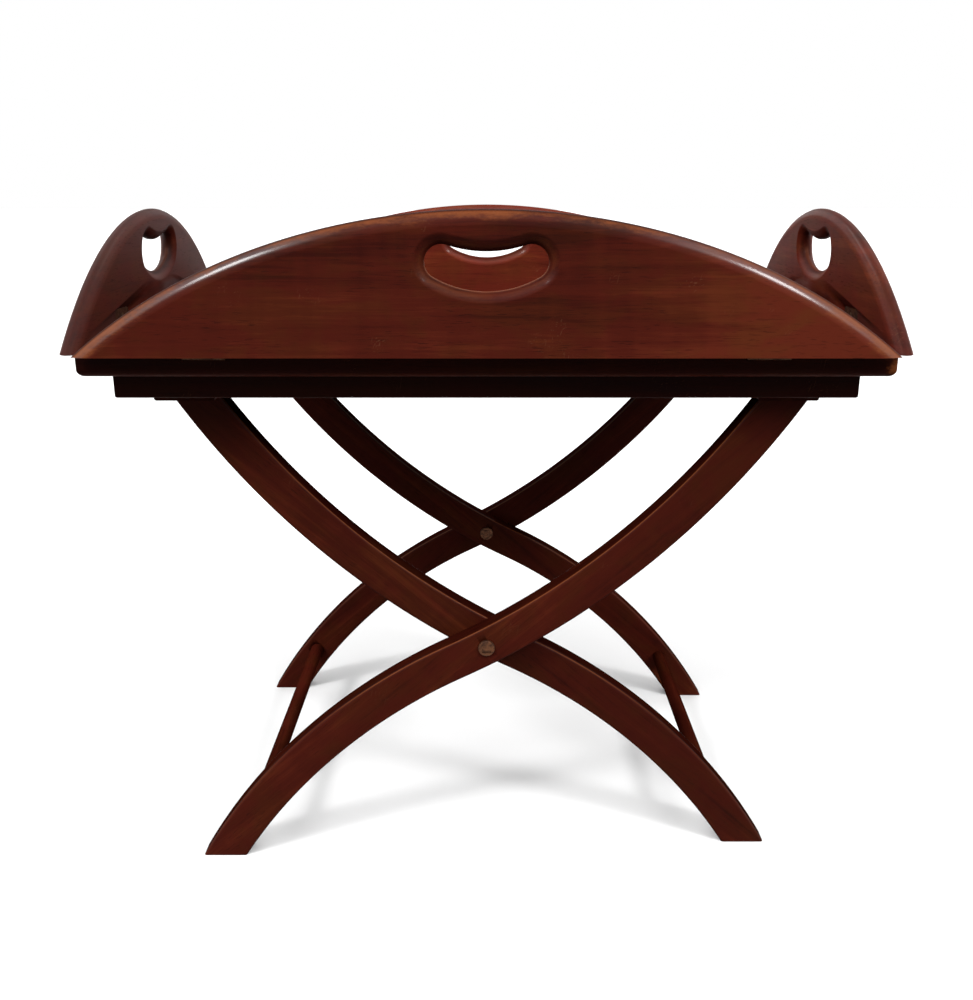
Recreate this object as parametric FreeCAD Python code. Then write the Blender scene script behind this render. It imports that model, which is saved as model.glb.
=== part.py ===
import FreeCAD
import Part
import math
import os
from collections import namedtuple

# Butler's tray table: a board with four hinged flaps, lying on a folding stand of crossed S-curved legs.
# Millimetres, +Z up, origin on the floor under the middle of the tray, front towards -Y, flaps raised.

# Tray board and the oval that the flaps complete when they lie flat
board_length = 740.0
board_width = 532.0
board_thickness = 19.0
board_lower_round = 7.0
oval_length = 990.0
oval_width = 787.0

# Flaps
flap_thickness = 18.5
flap_gap = 0.4
flap_lean_angle = 3.0
flap_edge_round_share = 0.42

# Hand holes: their base above the hinge line and their height follow the flap's rise, and their lobes
# and the dip between them follow that height
hand_hole_length = 109.0
hand_hole_base_share = 0.46
hand_hole_height_share = 0.324
hand_hole_lobe_share = 0.37
hand_hole_dip_share = 0.155
hand_hole_round_share = 0.45
rim_round_share = 0.35

# Hinges
hinge_width = 39.0
hinge_leaf_length = 30.0
hinge_leaf_thickness = 2.0
hinge_leaf_corner = 5.0
hinge_middle_knuckle = 18.0
hinge_knuckle_radius = 3.3
hinge_knuckle_gap = 0.3
hinge_room = 0.35
hinge_pin_radius = 1.6
hinge_pin_play = 0.05
front_hinge_inset = 116.0
side_hinge_inset = 131.0

# Hinge screws, two near the knuckles and one near the leaf's end
leaf_screw_radius = 1.6
leaf_screw_head_radius = 3.3
leaf_screw_head_height = 1.8
leaf_screw_length = 11.0
leaf_screw_side_margin = 8.5
leaf_screw_end_margin = 8.0
leaf_screw_near = 11.0
screw_slot_width = 0.8
screw_slot_depth = 0.7
screw_play = 0.05

# Battens under the board, and their screws
batten_setback = 24.0
batten_width = 25.0
batten_height = 23.5
batten_round = 2.5
batten_screw_radius = 2.0
batten_screw_head_radius = 4.0
batten_screw_head_height = 2.6
batten_screw_length = 34.0
long_batten_screws = 4
short_batten_screws = 3
batten_screw_margin = 60.0

# Stand
stand_height = 534.5
rail_height = 31.0
rail_reveal = 10.2
rail_play = 2.3
rail_round = 2.5
leg_width = 40.0
leg_thickness = 23.6
leg_arris_round = 2.2
leg_bend_slope_angle = 25.9
leg_bend_back = 31.5
leg_bend_drop = 15.9
pivot_height = 246.5
tenon_length = 34.0
tenon_thickness = 11.0
tenon_height = 18.0
mortise_play = 0.15
mortise_spare_depth = 1.0
stretcher_radius = 8.5
stretcher_height = 61.0
stretcher_offset = 3.0
stretcher_socket = 14.0
stretcher_play = 0.1

# Pivots
leg_spacing = 1.2
washer_play = 0.1
washer_radius = 11.0
bolt_radius = 4.0
bolt_play = 0.06
bolt_head_radius = 8.5
bolt_head_height = 3.2
bolt_head_round = 1.2
bolt_recess_width = 9.5
bolt_recess_depth = 1.4
nut_radius = 8.5
nut_height = 4.5
nut_round = 0.8
nut_running_gap = 0.1
nut_cap = 1.5
nut_hole_radius = 2.9
nut_groove_radius = 7.0
nut_groove_depth = 1.2
nut_boss_radius = 4.8
bolt_end_gap = 0.2

# Overrun of every cut beyond the face it opens through
cut_overrun = 5.0

# Share of the finest clearance that tells one edge from another
edge_tolerance_share = 0.1

board_top = stand_height + board_thickness
half_length = board_length / 2
half_width = board_width / 2
batten_outer_x = half_length - batten_setback
batten_outer_y = half_width - batten_setback
rail_outer_x = batten_outer_x - batten_width - rail_play
rail_half_length = batten_outer_y - batten_width - rail_play
rail_bottom = stand_height - rail_height
leg_top_x = rail_outer_x - rail_reveal
inner_leg_outer_y = rail_half_length - leg_thickness - leg_spacing
washer_thickness = leg_spacing - 2 * washer_play
knuckle_room = hinge_knuckle_radius + hinge_room
front_hinge_offset = half_length - front_hinge_inset
side_hinge_offset = half_width - side_hinge_inset
leaf_screw_spread = hinge_width / 2 - leaf_screw_side_margin
leaf_screw_far = hinge_leaf_length - leaf_screw_end_margin

# All hand holes are alike, for the flap that rises least. The flap's thickness carries the rounds, or the
# wood between hole and rim where that is narrow
flap_rise = min(oval_length / 2 - half_length, oval_width / 2 - half_width)
hand_hole_base = flap_rise * hand_hole_base_share
hand_hole_height = flap_rise * hand_hole_height_share
hand_hole_lobe_radius = hand_hole_height * hand_hole_lobe_share
hand_hole_dip = hand_hole_height * hand_hole_dip_share
rim_wall = flap_rise - hand_hole_base - hand_hole_height
flap_edge_round = min(flap_thickness * flap_edge_round_share, rim_wall * rim_round_share)
hand_hole_round = min(flap_thickness * hand_hole_round_share, rim_wall * rim_round_share)
tolerance = hinge_pin_play * edge_tolerance_share

# Each side of the tray: its turn about Z from the back, its hinge line's distance and half length,
# the oval's half size towards that side, and its hinges' offset
Side = namedtuple("Side", "turn distance half_chord half_out hinge_offset")
SIDES = {
    "front": Side(180.0, half_width, half_length, oval_width / 2, front_hinge_offset),
    "back": Side(0.0, half_width, half_length, oval_width / 2, front_hinge_offset),
    "left": Side(90.0, half_length, half_width, oval_length / 2, side_hinge_offset),
    "right": Side(-90.0, half_length, half_width, oval_length / 2, side_hinge_offset),
}

V = FreeCAD.Vector
X_AXIS = V(1, 0, 0)
Y_AXIS = V(0, 1, 0)
Z_AXIS = V(0, 0, 1)
ORIGIN = V(0, 0, 0)


def block(x_from, x_to, y_from, y_to, z_from, z_to):
    return Part.makeBox(x_to - x_from, y_to - y_from, z_to - z_from, V(x_from, y_from, z_from))


def rod(radius, start, axis, length):
    return Part.makeCylinder(radius, length, start, axis)


def moved(shape, offset):
    copy = shape.copy()
    copy.translate(offset)
    return copy


def turned(shape, axis, angle):
    copy = shape.copy()
    copy.rotate(ORIGIN, axis, angle)
    return copy


# About the middle of the tray: the inner frame faces the other way than the outer one, and a board leaf
# the other way than a flap leaf
def half_turn(shape):
    return turned(shape, Z_AXIS, 180.0)


def joined(shapes):
    return shapes[0].multiFuse(shapes[1:]).removeSplitter()


def export(name, solids):
    shape = solids[0] if len(solids) == 1 else Part.makeCompound(solids)
    shape.exportStep("parts/" + name + ".step")


def edges_where(shape, test):
    return [edge for edge in shape.Edges if test(edge)]


def is_level(edge, height):
    box = edge.BoundBox
    return abs(box.ZMin - height) < tolerance and abs(box.ZMax - height) < tolerance


# A countersunk screw that points down from its head at height zero, with room round it for its hole
def screw_body(radius, head_radius, head_height, length, room):
    head = Part.makeCone(head_radius + room, radius + room, head_height, ORIGIN, -Z_AXIS)
    return head.fuse(rod(radius + room, ORIGIN, -Z_AXIS, length + room)).removeSplitter()


def screw(radius, head_radius, head_height, length):
    slot = block(-head_radius, head_radius, -screw_slot_width / 2, screw_slot_width / 2,
                 -screw_slot_depth, cut_overrun)
    return screw_body(radius, head_radius, head_height, length, 0).cut(slot)


def leaf_screw():
    return screw(leaf_screw_radius, leaf_screw_head_radius, leaf_screw_head_height, leaf_screw_length)


def leaf_screw_hole():
    return screw_body(leaf_screw_radius, leaf_screw_head_radius, leaf_screw_head_height,
                      leaf_screw_length, screw_play)


def leaf_screw_places():
    return [V(-leaf_screw_spread, leaf_screw_near, 0),
            V(leaf_screw_spread, leaf_screw_near, 0),
            V(0, leaf_screw_far, 0)]


# Hinge pieces lie on the hinge line along X, with the leaf flat and pointing to +Y
def leaf_plate(start, room):
    half = hinge_width / 2 + room
    end = hinge_leaf_length + room
    plate = block(-half, half, start, end, -hinge_leaf_thickness, room)
    at_end = edges_where(plate, lambda e: e.BoundBox.YMin > end - tolerance)
    corners = [edge for edge in at_end if edge.BoundBox.ZLength > tolerance]
    return plate.makeFillet(hinge_leaf_corner, corners)


def knuckle_spans(middle):
    inner = hinge_middle_knuckle / 2
    outer = hinge_width / 2
    if middle:
        return [(-inner, inner)]
    return [(-outer, -inner - hinge_knuckle_gap), (inner + hinge_knuckle_gap, outer)]


def hinge_leaf(middle):
    shapes = [leaf_plate(knuckle_room, 0)]
    for start, end in knuckle_spans(middle):
        shapes.append(block(start, end, 0, knuckle_room, -hinge_leaf_thickness, 0))
        shapes.append(rod(hinge_knuckle_radius, V(start, 0, 0), X_AXIS, end - start))
    leaf = joined(shapes)
    bore = rod(hinge_pin_radius + hinge_pin_play, V(-hinge_width, 0, 0), X_AXIS, 2 * hinge_width)
    holes = [moved(leaf_screw_hole(), place) for place in leaf_screw_places()]
    return leaf.cut([bore] + holes)


def hinge_pin():
    return rod(hinge_pin_radius, V(-hinge_width / 2, 0, 0), X_AXIS, hinge_width)


# What one leaf takes out of the wood: its mortise, the room round the knuckles, and its pilot holes
def hinge_recess():
    span = hinge_width / 2 + hinge_room
    mortise = leaf_plate(-cut_overrun, hinge_room)
    slot = block(-span, span, -cut_overrun, knuckle_room, -hinge_leaf_thickness, cut_overrun)
    knuckles = rod(knuckle_room, V(-span, 0, 0), X_AXIS, 2 * span)
    pilots = [moved(leaf_screw_hole(), place) for place in leaf_screw_places()]
    return [mortise.fuse(slot), knuckles] + pilots


def on_both_hinges(shapes, offset):
    return [moved(shape, V(place, 0, 0)) for place in (-offset, offset) for shape in shapes]


# Kidney outline of the hand hole: two lobes, a long lower arc and a dip between the lobes
def hand_hole_tool():
    r = hand_hole_lobe_radius
    lobe_x = hand_hole_length / 2 - r
    lobe_y = hand_hole_base + hand_hole_height - r
    rise = lobe_y - hand_hole_base
    crown = r - hand_hole_dip
    lower_radius = (lobe_x ** 2 + rise ** 2 - r ** 2) / (2 * (rise - r))
    dip_radius = (lobe_x ** 2 + crown ** 2 - r ** 2) / (2 * hand_hole_dip)
    lobe = V(lobe_x, lobe_y, 0)
    lower_centre = V(0, hand_hole_base + lower_radius, 0)
    dip_centre = V(0, lobe_y + crown + dip_radius, 0)
    lower_right = lower_centre + (lobe - lower_centre).normalize() * lower_radius
    upper_right = dip_centre + (lobe - dip_centre).normalize() * dip_radius
    lower_left = V(-lower_right.x, lower_right.y, 0)
    upper_left = V(-upper_right.x, upper_right.y, 0)
    arcs = [
        Part.Arc(lower_left, V(0, hand_hole_base, 0), lower_right),
        Part.Arc(lower_right, V(lobe_x + r, lobe_y, 0), upper_right),
        Part.Arc(upper_right, V(0, lobe_y + crown, 0), upper_left),
        Part.Arc(upper_left, V(-lobe_x - r, lobe_y, 0), lower_left),
    ]
    outline = Part.Wire([arc.toShape() for arc in arcs])
    tool = Part.Face(outline).extrude(Z_AXIS * -(flap_thickness + 2 * cut_overrun))
    return moved(tool, Z_AXIS * cut_overrun)


# The whole oval, its rim rounded, with its centre behind the hinge line
def oval_slab(side):
    half_along = side.half_chord / math.sqrt(1 - (side.distance / side.half_out) ** 2)
    along = V(half_along, 0, 0)
    out = V(0, side.half_out, 0)
    major, minor = (along, out) if half_along > side.half_out else (out, along)
    face = Part.Face(Part.Wire([Part.Ellipse(major, minor, ORIGIN).toShape()]))
    slab = face.extrude(Z_AXIS * -flap_thickness)
    rims = edges_where(slab, lambda e: e.BoundBox.ZLength < tolerance)
    return moved(slab.makeFillet(flap_edge_round, rims), V(0, -side.distance, 0))


# A flap lying flat, its hinge line along X and its arc towards +Y
def flat_flap(side):
    reach = side.half_out - side.distance + cut_overrun
    segment = block(-side.half_chord, side.half_chord, flap_gap, reach,
                    -flap_thickness - cut_overrun, cut_overrun)
    flap = oval_slab(side).common(segment)
    flap = flap.cut(hand_hole_tool())
    margin = hand_hole_round
    low, high = hand_hole_base - margin, hand_hole_base + hand_hole_height + margin

    def is_rim(edge):
        box = edge.BoundBox
        inside = box.YMin > low and box.YMax < high and box.XLength < hand_hole_length + margin
        return inside and (is_level(edge, 0) or is_level(edge, -flap_thickness))

    flap = flap.makeFillet(hand_hole_round, edges_where(flap, is_rim))
    return flap.cut(on_both_hinges(hinge_recess(), side.hinge_offset))


# From lying flat on the local hinge line to standing raised, leaning a little over the board
def raised(shape):
    return turned(shape, X_AXIS, 90.0 + flap_lean_angle)


# From the local hinge line to one side of the tray
def placed(shape, side):
    return turned(moved(shape, V(0, side.distance, board_top)), Z_AXIS, side.turn)


def tray_board():
    board = block(-half_length, half_length, -half_width, half_width, stand_height, board_top)
    board = board.makeFillet(board_lower_round, edges_where(board, lambda e: is_level(e, stand_height)))
    recess = [half_turn(shape) for shape in hinge_recess()]
    cuts = batten_screw_holes()
    for side in SIDES.values():
        cuts += [placed(shape, side) for shape in on_both_hinges(recess, side.hinge_offset)]
    return board.cut(cuts)


def batten_screw_places():
    places = []
    row_y = batten_outer_y - batten_width / 2
    row_x = batten_outer_x - batten_width / 2
    long_reach = batten_outer_x - batten_screw_margin
    short_reach = batten_outer_y - batten_width - batten_screw_margin
    for i in range(long_batten_screws):
        x = long_reach * (2 * i / (long_batten_screws - 1) - 1)
        places += [V(x, -row_y, 0), V(x, row_y, 0)]
    for i in range(short_batten_screws):
        y = short_reach * (2 * i / (short_batten_screws - 1) - 1)
        places += [V(-row_x, y, 0), V(row_x, y, 0)]
    return [place + Z_AXIS * (stand_height - batten_height) for place in places]


def batten_screws():
    single = turned(screw(batten_screw_radius, batten_screw_head_radius, batten_screw_head_height,
                          batten_screw_length), X_AXIS, 180.0)
    return [moved(single, place) for place in batten_screw_places()]


def batten_screw_holes():
    single = turned(screw_body(batten_screw_radius, batten_screw_head_radius, batten_screw_head_height,
                               batten_screw_length, screw_play), X_AXIS, 180.0)
    return [moved(single, place) for place in batten_screw_places()]


def batten(x_from, x_to, y_from, y_to):
    low = stand_height - batten_height
    bar = block(x_from, x_to, y_from, y_to, low, stand_height)
    bar = bar.makeFillet(batten_round, edges_where(bar, lambda e: is_level(e, low)))
    return bar.cut(batten_screw_holes())


# A leg's cross-section with rounded arrises, its width along the given direction and its thickness along Y
def leg_section(centre, across):
    half_width_left = leg_width / 2 - leg_arris_round
    half_thickness_left = leg_thickness / 2 - leg_arris_round
    wide, thick, edges = {}, {}, []
    for corner in ((1, 1), (1, -1), (-1, -1), (-1, 1)):
        u = across * corner[0]
        v = Y_AXIS * corner[1]
        base = centre + u * half_width_left + v * half_thickness_left
        wide[corner] = base + u * leg_arris_round
        thick[corner] = base + v * leg_arris_round
        middle = base + (u + v).normalize() * leg_arris_round
        edges.append(Part.Arc(wide[corner], middle, thick[corner]).toShape())
    for sign in (1, -1):
        edges.append(Part.makeLine(wide[(sign, 1)], wide[(sign, -1)]))
        edges.append(Part.makeLine(thick[(1, sign)], thick[(-1, sign)]))
    return Part.Wire(Part.__sortEdges__(edges))


# The outer frame's leg curve in the XZ plane: one arc up to the rail and one down to the foot,
# meeting tangentially at the bend a little below the pivot
class LegCurve:
    def __init__(self):
        slope = math.radians(leg_bend_slope_angle)
        self.slope = slope
        self.bend = V(-leg_bend_back, 0, pivot_height - leg_bend_drop)
        self.normal = V(-math.sin(slope), 0, math.cos(slope))
        half = leg_width / 2
        to_top = V(leg_top_x, 0, rail_bottom) - self.bend
        to_foot = V(-leg_top_x, 0, 0) - self.bend
        self.upper = (to_top.dot(to_top) - half ** 2) / (2 * to_top.dot(self.normal) + leg_width)
        self.lower = (to_foot.dot(to_foot) - half ** 2) / (leg_width - 2 * to_foot.dot(self.normal))
        self.upper_centre = self.bend + self.normal * self.upper
        self.lower_centre = self.bend - self.normal * self.lower

    # How the leg slopes after this rise, or fall, from the bend along an arc of this radius
    def heading_at(self, radius, rise):
        return math.acos(math.cos(self.slope) - rise / radius)

    # The whole bar, running on past the rail's underside and the floor
    def bar(self, y_middle):
        top = self.heading_at(self.upper, rail_bottom + leg_width - self.bend.z)
        foot = self.heading_at(self.lower, self.bend.z + leg_width)
        upper = self.half_bar(self.upper_centre, self.upper, top, y_middle)
        lower = self.half_bar(self.lower_centre, -self.lower, foot, y_middle)
        return upper.fuse(lower)

    # The bar along one arc, from the bend to a heading
    def half_bar(self, centre, radius, end, y_middle):
        middle = V(0, y_middle, 0)
        headings = (self.slope, (self.slope + end) / 2, end)
        points = [centre + V(math.sin(h), 0, -math.cos(h)) * radius + middle for h in headings]
        path = Part.Wire([Part.Arc(*points).toShape()])
        return path.makePipeShell([leg_section(self.bend + middle, self.normal)], True, False)

    # Where the leg's inner edge meets the rail's underside
    def top_inner_x(self):
        radius = self.upper - leg_width / 2
        return self.upper_centre.x + math.sqrt(radius ** 2 - (self.upper_centre.z - rail_bottom) ** 2)

    def stretcher_x(self):
        heading = self.heading_at(self.lower, self.bend.z - stretcher_height)
        return self.lower_centre.x - self.lower * math.sin(heading) - stretcher_offset


leg_curve = LegCurve()
rail_inner_x = leg_curve.top_inner_x()
tenon_middle_x = (rail_inner_x + leg_top_x) / 2


def tenon(y_middle, room, spare):
    half_x = tenon_length / 2 + room
    half_y = tenon_thickness / 2 + room
    return block(tenon_middle_x - half_x, tenon_middle_x + half_x, y_middle - half_y, y_middle + half_y,
                 rail_bottom, rail_bottom + tenon_height + spare)


# A leg of the outer frame between two depths, with the stretcher's socket in the face towards the middle
def leg(y_from):
    y_to = y_from + leg_thickness
    y_middle = (y_from + y_to) / 2
    trim = block(-board_length, board_length, y_from - cut_overrun, y_to + cut_overrun, 0, rail_bottom)
    bar = leg_curve.bar(y_middle).common(trim).fuse(tenon(y_middle, 0, 0))
    pivot = rod(bolt_radius + bolt_play, V(0, y_from - cut_overrun, pivot_height), Y_AXIS,
                leg_thickness + 2 * cut_overrun)
    inner_face = y_to if y_from < 0 else y_from
    inwards = Y_AXIS if y_from < 0 else -Y_AXIS
    seat = V(leg_curve.stretcher_x(), inner_face, stretcher_height) - inwards * stretcher_socket
    socket = rod(stretcher_radius + stretcher_play, seat, inwards, stretcher_socket + cut_overrun)
    return bar.cut([pivot, socket])


# Rail and stretcher of the outer frame's shape, for legs whose outer faces lie at this depth
def rail(leg_outer_y):
    bar = block(rail_inner_x, rail_outer_x, -rail_half_length, rail_half_length, rail_bottom, stand_height)
    bar = bar.makeFillet(rail_round, edges_where(bar, lambda e: e.BoundBox.YLength > leg_width))
    middle = leg_outer_y - leg_thickness / 2
    return bar.cut([tenon(y, mortise_play, mortise_spare_depth) for y in (-middle, middle)])


def stretcher(leg_outer_y):
    half = leg_outer_y - leg_thickness + stretcher_socket - stretcher_play
    start = V(leg_curve.stretcher_x(), -half, stretcher_height)
    return rod(stretcher_radius, start, Y_AXIS, 2 * half)


# Pivot pieces for the front, along +Y from the outer leg's outer face
def pivot_bolt():
    front = V(0, -rail_half_length, pivot_height)
    end_y = -inner_leg_outer_y + leg_thickness + nut_running_gap + nut_height - nut_cap - bolt_end_gap
    head = rod(bolt_head_radius, front, -Y_AXIS, bolt_head_height)
    outer_y = -rail_half_length - bolt_head_height
    rim = edges_where(head, lambda e: e.BoundBox.YMax < outer_y + tolerance)
    head = head.makeFillet(bolt_head_round, rim)
    half = bolt_recess_width / 2
    recess = block(-half, half, outer_y - cut_overrun, outer_y + bolt_recess_depth,
                   pivot_height - half, pivot_height + half)
    shank = rod(bolt_radius, front, Y_AXIS, end_y + rail_half_length)
    return head.cut(recess).fuse(shank).removeSplitter()


def pivot_washer():
    start = V(0, -rail_half_length + leg_thickness + (leg_spacing - washer_thickness) / 2, pivot_height)
    ring = rod(washer_radius, start, Y_AXIS, washer_thickness)
    return ring.cut(rod(bolt_radius + bolt_play, start, Y_AXIS, washer_thickness))


def pivot_nut():
    start = V(0, -inner_leg_outer_y + leg_thickness + nut_running_gap, pivot_height)
    nut = rod(nut_radius, start, Y_AXIS, nut_height)
    end_y = start.y + nut_height
    nut = nut.makeFillet(nut_round, edges_where(nut, lambda e: e.BoundBox.YMin > end_y - tolerance))
    thread = rod(bolt_radius + bolt_play, start, Y_AXIS, nut_height - nut_cap)
    hole = rod(nut_hole_radius, start, Y_AXIS, nut_height + cut_overrun)
    floor = start + Y_AXIS * (nut_height - nut_groove_depth)
    groove = rod(nut_groove_radius, floor, Y_AXIS, nut_groove_depth + cut_overrun)
    groove = groove.cut(rod(nut_boss_radius, floor, Y_AXIS, nut_groove_depth + cut_overrun))
    return nut.cut([thread, hole, groove])


def front_and_rear(shape):
    return [shape, shape.mirror(ORIGIN, Y_AXIS)]


os.makedirs("parts", exist_ok=True)

export("tray_board", [tray_board()])
inner_y = batten_outer_y - batten_width
inner_x = batten_outer_x - batten_width
export("batten_front", [batten(-batten_outer_x, batten_outer_x, -batten_outer_y, -inner_y)])
export("batten_back", [batten(-batten_outer_x, batten_outer_x, inner_y, batten_outer_y)])
export("batten_left", [batten(-batten_outer_x, -inner_x, -inner_y, inner_y)])
export("batten_right", [batten(inner_x, batten_outer_x, -inner_y, inner_y)])
export("batten_screws", batten_screws())

board_leaf = half_turn(hinge_leaf(False))
flap_leaf = hinge_leaf(True)
flap_screws = [moved(leaf_screw(), place) for place in leaf_screw_places()]
board_screws = [half_turn(shape) for shape in flap_screws]
for name, side in SIDES.items():
    export("flap_" + name, [placed(raised(flat_flap(side)), side)])
    leaves = on_both_hinges([flap_leaf], side.hinge_offset)
    export(name + "_hinge_flap_leaves", [placed(raised(shape), side) for shape in leaves])
    screws = on_both_hinges(flap_screws, side.hinge_offset)
    export(name + "_flap_leaf_screws", [placed(raised(shape), side) for shape in screws])
    leaves = on_both_hinges([board_leaf], side.hinge_offset)
    export(name + "_hinge_board_leaves", [placed(shape, side) for shape in leaves])
    screws = on_both_hinges(board_screws, side.hinge_offset)
    export(name + "_board_leaf_screws", [placed(shape, side) for shape in screws])
    pins = on_both_hinges([hinge_pin()], side.hinge_offset)
    export(name + "_hinge_pins", [placed(shape, side) for shape in pins])

export("outer_leg_front", [leg(-rail_half_length)])
export("outer_leg_rear", [leg(rail_half_length - leg_thickness)])
export("right_top_rail", [rail(rail_half_length)])
export("left_stretcher", [stretcher(rail_half_length)])
export("inner_leg_front", [half_turn(leg(inner_leg_outer_y - leg_thickness))])
export("inner_leg_rear", [half_turn(leg(-inner_leg_outer_y))])
export("left_top_rail", [half_turn(rail(inner_leg_outer_y))])
export("right_stretcher", [half_turn(stretcher(inner_leg_outer_y))])
export("pivot_bolts", front_and_rear(pivot_bolt()))
export("pivot_washers", front_and_rear(pivot_washer()))
export("pivot_nuts", front_and_rear(pivot_nut()))
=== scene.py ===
import math

import bmesh
import bpy
from mathutils import Matrix, Vector


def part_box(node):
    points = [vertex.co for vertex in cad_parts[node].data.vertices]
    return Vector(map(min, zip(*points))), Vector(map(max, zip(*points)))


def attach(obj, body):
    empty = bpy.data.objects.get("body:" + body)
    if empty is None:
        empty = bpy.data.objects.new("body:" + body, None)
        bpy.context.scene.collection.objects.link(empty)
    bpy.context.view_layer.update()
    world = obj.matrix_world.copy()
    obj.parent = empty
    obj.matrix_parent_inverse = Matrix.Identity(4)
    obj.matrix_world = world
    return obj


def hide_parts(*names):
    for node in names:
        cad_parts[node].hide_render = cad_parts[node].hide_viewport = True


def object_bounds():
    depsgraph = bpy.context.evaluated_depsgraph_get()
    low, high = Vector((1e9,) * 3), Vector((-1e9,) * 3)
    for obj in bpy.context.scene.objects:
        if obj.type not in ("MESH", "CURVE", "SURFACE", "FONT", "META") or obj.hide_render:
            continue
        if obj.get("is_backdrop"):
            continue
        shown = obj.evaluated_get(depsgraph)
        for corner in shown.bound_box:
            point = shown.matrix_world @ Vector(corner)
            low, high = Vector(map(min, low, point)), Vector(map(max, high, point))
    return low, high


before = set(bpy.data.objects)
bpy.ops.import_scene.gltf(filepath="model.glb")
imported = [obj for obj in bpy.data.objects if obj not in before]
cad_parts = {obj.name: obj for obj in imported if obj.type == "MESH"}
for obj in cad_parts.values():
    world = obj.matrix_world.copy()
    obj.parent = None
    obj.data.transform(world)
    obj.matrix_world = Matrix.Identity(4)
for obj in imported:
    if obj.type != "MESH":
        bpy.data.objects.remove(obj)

cadLow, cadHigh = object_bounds()
boardLow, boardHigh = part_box("tray_board")
print("frame loaded:", len(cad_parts), "nodes")


# node helpers

# a socket is linked, a plain value is set on the input itself
def setInputs(tree, node, inputs):
    for key, value in inputs.items():
        if isinstance(value, bpy.types.NodeSocket):
            tree.links.new(value, node.inputs[key])
        else:
            node.inputs[key].default_value = value


def addNode(tree, kind, settings=None, inputs=None):
    node = tree.nodes.new(kind)
    for key, value in (settings or {}).items():
        setattr(node, key, value)
    setInputs(tree, node, inputs or {})
    return node


def doMath(tree, operation, first, second=0.0, clamp=False):
    settings = {"operation": operation, "use_clamp": clamp}
    return addNode(tree, "ShaderNodeMath", settings, {0: first, 1: second}).outputs[0]


def mixColours(tree, factor, first, second, blend="MIX"):
    settings = {"data_type": "RGBA", "blend_type": blend, "clamp_factor": True}
    return addNode(tree, "ShaderNodeMix", settings, {0: factor, 6: first, 7: second}).outputs[2]


def remap(tree, value, low, high, toLow=0.0, toHigh=1.0):
    inputs = {"Value": value, "From Min": low, "From Max": high, "To Min": toLow, "To Max": toHigh}
    return addNode(tree, "ShaderNodeMapRange", {"interpolation_type": "SMOOTHSTEP"}, inputs).outputs[0]


def partOf(tree, vector, axis):
    return addNode(tree, "ShaderNodeSeparateXYZ", None, {0: vector}).outputs[axis]


def scaledNoise(tree, vector, scales, detail, rough=0.55, distortion=0.0):
    stretched = addNode(tree, "ShaderNodeVectorMath", {"operation": "MULTIPLY"}, {0: vector, 1: scales})
    inputs = {"Vector": stretched.outputs[0], "Scale": 1.0, "Detail": detail, "Roughness": rough,
              "Distortion": distortion}
    return addNode(tree, "ShaderNodeTexNoise", None, inputs).outputs[0]


# a noise moved to swing around nought
def swing(tree, noise, amount):
    return doMath(tree, "MULTIPLY", doMath(tree, "SUBTRACT", noise, 0.5), amount)


def newGroup(name, inputs, outputs):
    tree = bpy.data.node_groups.new(name, "ShaderNodeTree")
    for label, kind, default in inputs:
        socket = tree.interface.new_socket(label, in_out="INPUT", socket_type="NodeSocket" + kind)
        if default is not None:
            socket.default_value = default
    for label, kind in outputs:
        tree.interface.new_socket(label, in_out="OUTPUT", socket_type="NodeSocket" + kind)
    return tree, tree.nodes.new("NodeGroupInput").outputs, tree.nodes.new("NodeGroupOutput").inputs


def placeGroup(tree, group, inputs):
    return addNode(tree, "ShaderNodeGroup", {"node_tree": group}, inputs).outputs


def newMaterial(name):
    material = bpy.data.materials.new(name)
    material.use_nodes = True
    tree = material.node_tree
    return material, tree, tree.nodes["Principled BSDF"]


# mahogany, solid through the wood: its vector runs along the grain in X
grainValues = {
    "noises": {  # scales, detail, roughness, distortion
        "bands": ((1.6, 24.0, 24.0), 4.0, 0.6, 0.5),
        "streaks": ((5.0, 130.0, 130.0), 4.0, 0.65, 0.2),
        "fibres": ((30.0, 620.0, 620.0), 2.0),
        "figure": ((36.0, 6.0, 6.0), 2.0, 0.5, 0.6),
        "pores": ((75.0, 900.0, 900.0), 1.0),
        "clouds": ((17.0, 36.0, 36.0), 3.0, 0.6, 0.4),
        "patches": ((9.0, 40.0, 40.0), 2.0),
    },
    "shares": {"bands": 2.0, "streaks": 1.15, "fibres": 0.45, "figure": 0.5},
    "cloudSpan": (0.42, 0.64),
    "cloudTint": (0.97, 1.25, 0.95, 1.0),
    "poreSpan": (0.60, 0.70),
    "patchSpan": (0.38, 0.66, 0.25, 1.0),
    "poreColour": (0.010, 0.003, 0.002, 1.0),
    "fibreHeight": 0.4,
}


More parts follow.
